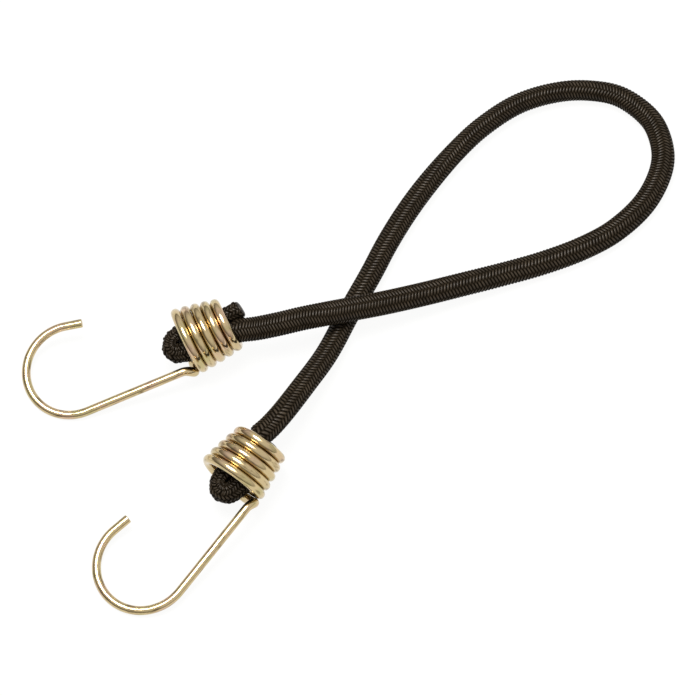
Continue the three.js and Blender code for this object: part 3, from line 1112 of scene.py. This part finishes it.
    def evened(self, smooth: Array, sharp: Array, mouth: int) -> Spine:
        """One spine from the joined stretches, with its stations evenly spaced.

        The phase is the sum of the braid's rate along the cord.

        Args:
            smooth: Points, upward sides, rocking angles and rates, to be averaged over a short reach.
            sharp: Half sizes and rooms, to be kept as they are.
            mouth: Number of the station at the mouth of coil A.

        Returns:
            The spine.
        """
        gone = travelled(smooth[:, :3])
        where = np.linspace(0.0, gone[-1], round(gone[-1] / self.ring_step))
        averages = averaged(read_at(where, gone, smooth), self.smoothing)
        points, up, rock, rate = np.split(averages, [3, 6, 7], axis=1)
        half, room = np.split(read_at(where, gone, sharp), [2], axis=1)
        even = travelled(points)
        start = np.interp(gone[mouth], where, even)
        phase = np.cumsum(rate[:, 0] * np.gradient(even)) / self.braid.stroke
        return Spine(points, unit(up), half, rock[:, 0], phase, room[:, 0], even - start)

    def sheath(self, name: str, spine: Spine, braid: Braid) -> bpy.types.Object:
        """A stretch of sheath: a braided outside, a plain bore and a flat rim at each end.

        The outside is the section drawn in by the braid's depth where the relief is low.

        Args:
            name: Name of the piece.
            spine: The stretch of cord that it covers.
            braid: How its yarns lie.

        Returns:
            The new piece.
        """
        section = round_section(self.sides)
        column = np.arange(self.sides)[None] / self.sides * braid.columns
        height, crown, side, tone = braid.relief(column, spine.phase[:, None])
        outside = spine.rings(section, braid.depth * (1.0 - height), creased=True)
        long = spine.distance[-1] - spine.distance[0]
        core = spine.cut(spine.distance[0], spine.distance[-1], max(2, round(long / self.inner_step)))
        bore = core.rings(section, self.sheath_wall)

        outer_last = (len(outside) - 1) * self.sides
        bore_first = len(outside) * self.sides
        bore_last = bore_first + (len(bore) - 1) * self.sides
        place = np.arange(self.sides)
        beside = (place + 1) % self.sides
        near_rim = np.stack([place, bore_first + place, bore_first + beside, beside], axis=1)
        far_rim = np.stack([place, beside], axis=1) + outer_last
        far_rim = np.hstack([far_rim, np.stack([bore_last + beside, bore_last + place], axis=1)])
        inner = skin(len(bore), self.sides, bore_first)[:, ::-1]
        smooth = np.vstack([skin(len(outside), self.sides), inner]).tolist()
        rims = np.vstack([near_rim, far_rim]).tolist()
        points = np.concatenate([outside, bore]).reshape(-1, 3)
        piece = new_piece(name, points, smooth, rims)
        plain = np.zeros(len(bore) * self.sides)
        note(piece, "height", np.concatenate([crown.ravel(), plain]))
        note(piece, "side", np.concatenate([side.ravel(), plain]))
        note(piece, "tone", np.concatenate([tone.ravel(), plain]))
        return piece

    def strand_corners(self) -> Array:
        """Corners of the square strands that the bore holds.

        The strands stand on a square grid about the cord's middle, and one is kept where its furthest
        corner has room.

        Returns:
            Places of the corners as shares of the bore's half size, by strand and corner.
        """
        bore = self.diameter / 2.0 - self.sheath_wall
        pitch = self.strand_side + self.strand_gap
        room = bore * math.cos(math.pi / self.bore_sides) - self.strand_clearance
        reach = math.ceil(bore / pitch)
        row, column = np.mgrid[-reach : reach + 1, -reach : reach + 1]
        middle = np.stack([column, row], axis=-1).reshape(-1, 2) * pitch
        corner = self.strand_side / 2.0
        furthest = np.linalg.norm(np.abs(middle) + corner, axis=1)
        turns = np.array([[1.0, 1.0], [-1.0, 1.0], [-1.0, -1.0], [1.0, -1.0]])
        return (middle[furthest <= room][:, None] + turns * corner) / bore

    def strands(self, name: str, spine: Spine) -> bpy.types.Object:
        """A stretch of the rubber core: every strand a square bar along the cord, with cut ends.

        Args:
            name: Name of the piece.
            spine: The stretch of cord that it fills.

        Returns:
            The new piece.
        """
        corners = self.strand_corners()
        count, sides = corners.shape[:2]
        rings = len(spine.at)
        points = spine.rings(corners.reshape(-1, 2), self.sheath_wall)
        points = points.reshape(rings, count, sides, 3).transpose(1, 0, 2, 3)
        first = np.arange(count)[:, None, None] * rings * sides
        walls = (skin(rings, sides)[None] + first).reshape(-1, sides)
        near = np.arange(sides)[::-1]
        far = (rings - 1) * sides + np.arange(sides)
        ends = (np.stack([near, far])[None] + first).reshape(-1, sides)
        return new_piece(name, points, [], np.vstack([walls, ends]).tolist())


@dataclass(frozen=True)
class MeltedTail:
    """The crust over one cut tail: a lumpy rounded cap that carries on the shape of the sheath's end.

    Each wave of its lumps has a number round the cap, a share of the lumps' height and a starting angle.
    """

    gap: float = 0.03 * MM
    thickness: float = 1.1 * MM
    arch_power: float = 0.6
    crown_share: float = 0.06
    lump: float = 0.12 * MM
    waves: tuple[Triple, ...] = ((3.0, 1.0, 0.7), (5.0, 0.7, 2.1), (8.0, 0.5, 4.0))
    sides: int = 48
    rings: int = 16

    def build(self, name: str, spine: Spine, outward: int) -> bpy.types.Object:
        """The cap on the first or last station of a spine.

        It has a flat back of the sheath's own section, and its profile bulges from there to the crown: the
        share of the section falls as a power of the cosine of the profile's angle, and the lumps are a sum
        of sines.

        Args:
            name: Name of the piece.
            spine: The doubled end that it closes.
            outward: -1 for a cap before the first station, and +1 for one after the last.

        Returns:
            The new piece.
        """
        index = 0 if outward < 0 else -1
        way = unit(spine.at[1] - spine.at[0]) if outward < 0 else unit(spine.at[-1] - spine.at[-2])
        angle = np.linspace(0.0, math.pi / 2.0, self.rings)
        share = np.maximum(np.cos(angle) ** self.arch_power, self.crown_share)
        rise = np.sin(angle)
        turn = np.arange(self.sides) / self.sides * FULL_TURN
        number, height, start = np.array(self.waves).T[..., None]
        wave = np.sum(height * np.sin(number * turn + start), axis=0)
        lumps = self.lump * wave[None] * share[:, None] * rise[:, None]
        depth = self.gap + self.thickness * rise
        stations = Spine(
            spine.at[index] + outward * way * depth[:, None],
            np.tile(spine.up[index], (self.rings, 1)),
            spine.half[index] * share[:, None],
            np.full(self.rings, spine.rock[index]),
            np.zeros(self.rings),
            np.full(self.rings, spine.room[index]),
            outward * depth,
        )
        points = stations.rings(round_section(self.sides), -lumps)
        if outward < 0:
            points = points[::-1]
        last = (self.rings - 1) * self.sides
        caps = [list(range(self.sides))[::-1], list(range(last, last + self.sides))]
        return new_piece(name, points, skin(self.rings, self.sides).tolist(), caps)


# Stage


@dataclass(frozen=True)
class SoftBox:
    """A soft light of two sides: its place, its sides, its watts and its tint."""

    name: str
    at: Triple
    sides: Pair
    watts: float
    tint: Triple = (1.0, 0.985, 0.96)

    def hang(self, target: Triple) -> None:
        """Hangs the light with its face to a target.

        Its own downward axis is tipped from the vertical, and then turned about it, to run along the way to
        the target.

        Args:
            target: The point that it faces.
        """
        data = bpy.data.lights.new(self.name, "AREA")
        data.shape = "RECTANGLE"
        data.size, data.size_y = self.sides
        data.energy = self.watts
        data.color = self.tint
        lamp = bpy.data.objects.new(self.name, data)
        x, y, z = unit(np.array(target) - np.array(self.at))
        lamp.location = self.at
        lamp.rotation_euler = (math.acos(-z), 0.0, math.atan2(y, x) - math.pi / 2.0)
        bpy.context.scene.collection.objects.link(lamp)


@dataclass(frozen=True)
class Studio:
    """A pale floor under soft light, seen from the photograph's viewpoint.

    The room is graded from its low shade to its high one, over a band of the height that its tilt leans
    towards X and Y.
    """

    target: Triple = (70.9 * MM, 47.9 * MM, 0.0)
    elevation_deg: float = 62.2
    distance: float = 999.3 * MM
    lens: float = 140.1
    sensor: float = 36.0
    floor_half: float = 4.0
    floor_drop: float = 0.2 * MM
    floor_shade: Colour = colour(0.04, 0.04, 0.04)
    floor_roughness: float = 0.9
    floor_light: Colour = colour(1.0, 1.0, 0.995)
    floor_glow: float = 0.93
    top_box: SoftBox = SoftBox("top_box", at=(0.02, 0.12, 1.15), sides=(0.5, 0.7), watts=2.6)
    key_box: SoftBox = SoftBox("key_box", at=(-0.12, 0.12, 1.1), sides=(0.5, 0.5), watts=14.0)
    room_low: Colour = colour(0.2, 0.18, 0.155)
    room_high: Colour = colour(0.84, 0.83, 0.82)
    room_band: Pair = (-0.1, 0.7)
    room_tilt: Pair = (0.3, 0.12)

    def camera(self) -> None:
        """The camera, on a circle round the target in the YZ plane, looking at it."""
        data = bpy.data.cameras.new("camera")
        data.lens = self.lens
        data.sensor_width = self.sensor
        camera = bpy.data.objects.new("camera", data)
        rise = math.radians(self.elevation_deg)
        back = np.array([0.0, -math.cos(rise), math.sin(rise)])
        camera.location = np.array(self.target) + self.distance * back
        camera.rotation_euler = (math.pi / 2.0 - rise, 0.0, 0.0)
        bpy.context.scene.collection.objects.link(camera)
        bpy.context.scene.camera = camera

    def floor(self) -> None:
        """A plain pale sheet just under the plane that the part rests on."""
        square = np.array([[-1.0, -1.0, 0.0], [1.0, -1.0, 0.0], [1.0, 1.0, 0.0], [-1.0, 1.0, 0.0]])
        sheet = self.floor_half * square - self.floor_drop * UP
        floor = new_piece("floor", sheet, [], [[0, 1, 2, 3]])
        shader = Shader(bpy.data.materials.new("pale_floor"))
        lit = shader.surface(
            Base_Color=self.floor_shade,
            Roughness=self.floor_roughness,
            Emission_Color=self.floor_light,
            Emission_Strength=self.floor_glow,
        )
        floor.data.materials.append(lit)

    def light(self) -> None:
        """Two soft boxes over the part, in a softly graded room."""
        for box in (self.top_box, self.key_box):
            box.hang(self.target)
        world = bpy.data.worlds.new("room")
        bpy.context.scene.world = world
        shader = Shader(world)
        way = shader.node("ShaderNodeTexCoord", {}, {})
        split = shader.node("ShaderNodeSeparateXYZ", {}, {0: Value(shader, way.outputs["Generated"])})
        x, y, z = (Value(shader, split.outputs[axis]) for axis in "XYZ")
        tilt_x, tilt_y = self.room_tilt
        high = (z + tilt_y * y + tilt_x * x).band(*self.room_band)
        shade = shader.blend(high, self.room_low, self.room_high)
        shader.feed(shader.tree.nodes["Background"], {"Color": shade, "Strength": 1.0})
        bpy.context.scene.view_settings.view_transform = "Standard"


# Assembly


def dress(piece: bpy.types.Object, material: bpy.types.Material) -> None:
    """Gives a piece its finish, and reports the piece.

    Args:
        piece: The piece.
        material: Its finish.
    """
    piece.data.materials.append(material)
    log.info("%s: %d faces", piece.name, len(piece.data.polygons))


@dataclass
class BungeeCord:
    """The whole part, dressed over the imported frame."""

    frame: dict
    tail: MeltedTail = field(default_factory=MeltedTail)
    hooks: dict[End, WireHook] = field(init=False)
    cord: ElasticCord = field(init=False)
    spine: Spine = field(init=False)
    mouths: dict[End, float] = field(init=False)
    yarn: bpy.types.Material = field(init=False)
    rubber: bpy.types.Material = field(init=False)
    crust: bpy.types.Material = field(init=False)
    plate: bpy.types.Material = field(init=False)

    def __post_init__(self) -> None:
        """Reads where the hooks lie, works out the cord's spine and makes the finishes."""
        joints = {joint["name"]: joint for joint in self.frame["joints"]}
        places = {
            end: Placement.from_swivel(joints[f"swivel_{end.value}"], DOUBLED_ENDS[end].roll_deg)
            for end in End
        }
        self.hooks = {end: WireHook(DOUBLED_ENDS[end].shank_inset) for end in End}
        self.cord = ElasticCord(self.hooks[End.A].coil_length, places)
        self.spine = self.cord.spine()
        self.mouths = self.mouth_distances()
        self.yarn = BraidedYarn().material()
        self.rubber = CutRubber().material()
        self.crust = MeltedYarn().material()
        self.plate = PlatedSteel().material()

    def mouth_distances(self) -> dict[End, float]:
        """Distances along the cord at the mouths of the coils.

        Mouth A is where the spine counts from, and mouth B is at the nearest station of the spine.

        Returns:
            The distance at each end's mouth.
        """
        place = self.cord.placements[End.B]
        shape = DOUBLED_ENDS[End.B]
        offset = shape.side * (self.cord.run_offset - shape.mouth_inset)
        mouth = place.points(np.array([-self.cord.coil_length, offset, 0.0]))
        nearest = np.argmin(np.linalg.norm(self.spine.at - mouth, axis=1))
        return {End.A: 0.0, End.B: float(self.spine.distance[nearest])}

    def stretch(self, end: End, doubled: bool, step: float) -> Spine:
        """A stretch of the cord, which runs from coil A's side to coil B's.

        Args:
            end: Which end of the cord.
            doubled: Whether it is the doubled end inside the coil, and not the free half.
            step: Distance between its stations.

        Returns:
            The stretch of the spine.
        """
        middle = self.mouths[End.B] / 2.0
        spans = {
            (End.A, False): (0.0, middle),
            (End.B, False): (middle, self.mouths[End.B]),
            (End.A, True): (float(self.spine.distance[0]), 0.0),
            (End.B, True): (self.mouths[End.B], float(self.spine.distance[-1])),
        }
        first, last = spans[(end, doubled)]
        return self.spine.cut(first, last, max(2, round((last - first) / step)) + 1)

    def strand_nodes(self) -> list[str]:
        """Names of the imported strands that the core's pieces stand for."""
        return sorted(name for name in self.frame["nodes"] if name.startswith("rubber_strand_"))

    def bend_with(self, piece: bpy.types.Object, end: End, free: Spine) -> None:
        """Bakes a piece's place into its points. The mouth, the cord's middle and a margin from each are
        worked out, but not used.

        Args:
            piece: The piece.
            end: Which end of the cord.
            free: The free half that the piece follows.
        """
        mouth, middle = (free.at[0], free.at[-1]) if end is End.A else (free.at[-1], free.at[0])
        margin = self.cord.still_share * (mouth - middle)
        middle + margin
        mouth - margin
        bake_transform(piece)

    def lay_cord(self, end: End) -> None:
        """Args:
            end: Which end of the cord.
        """
        letter = end.value
        cord = self.cord
        free = self.stretch(end, False, cord.ring_step)
        doubled = self.stretch(end, True, cord.ring_step / cord.fold_strokes)
        half = cord.sheath(f"sheath_half_{letter}", free, cord.braid)
        fold = cord.sheath(f"sheath_end_{letter}", doubled, cord.bunched)
        core = cord.strands(f"core_half_{letter}", self.stretch(end, False, cord.inner_step))
        core_end = cord.strands(f"core_end_{letter}", self.stretch(end, True, cord.doubled_step))
        tail = self.tail.build(f"melted_tail_{letter}", doubled, -1 if end is End.A else 1)
        dress(half, self.yarn)
        dress(fold, self.yarn)
        dress(core, self.rubber)
        dress(core_end, self.rubber)
        dress(tail, self.crust)
        for piece in (half, fold):
            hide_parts("braided_sheath")
        for piece in (core, core_end):
            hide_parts(*self.strand_nodes())
        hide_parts(f"tail_seal_{letter}")
        for piece in (half, core):
            self.bend_with(piece, end, free)
        for piece in (fold, core_end, tail):
            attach(piece, f"end_{letter}")
        float(free.distance[-1] - free.distance[0])

    def hang_hook(self, end: End) -> None:
        """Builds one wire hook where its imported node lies.

        Args:
            end: Which end of the cord it grips.
        """
        piece = self.hooks[end].build(f"wire_hook_{end.value}", self.cord.placements[end])
        dress(piece, self.plate)
        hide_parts(f"hook_{end.value}")
        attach(piece, f"hook_{end.value}")


def corners(box: tuple[Triple, Triple]) -> list[list[float]]:
    """A box's two corners as plain lists."""
    return [list(corner) for corner in box]


def main() -> None:
    """Builds the camera, the cord, the hooks and the stage."""
    logging.basicConfig(level=logging.INFO, format="%(name)s: %(message)s")
    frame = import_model()
    studio = Studio()
    studio.camera()
    part = BungeeCord(frame)
    for end in End:
        part.lay_cord(end)
    for end in End:
        part.hang_hook(end)
    studio.floor()
    studio.light()


if __name__ == "__main__":
    main()
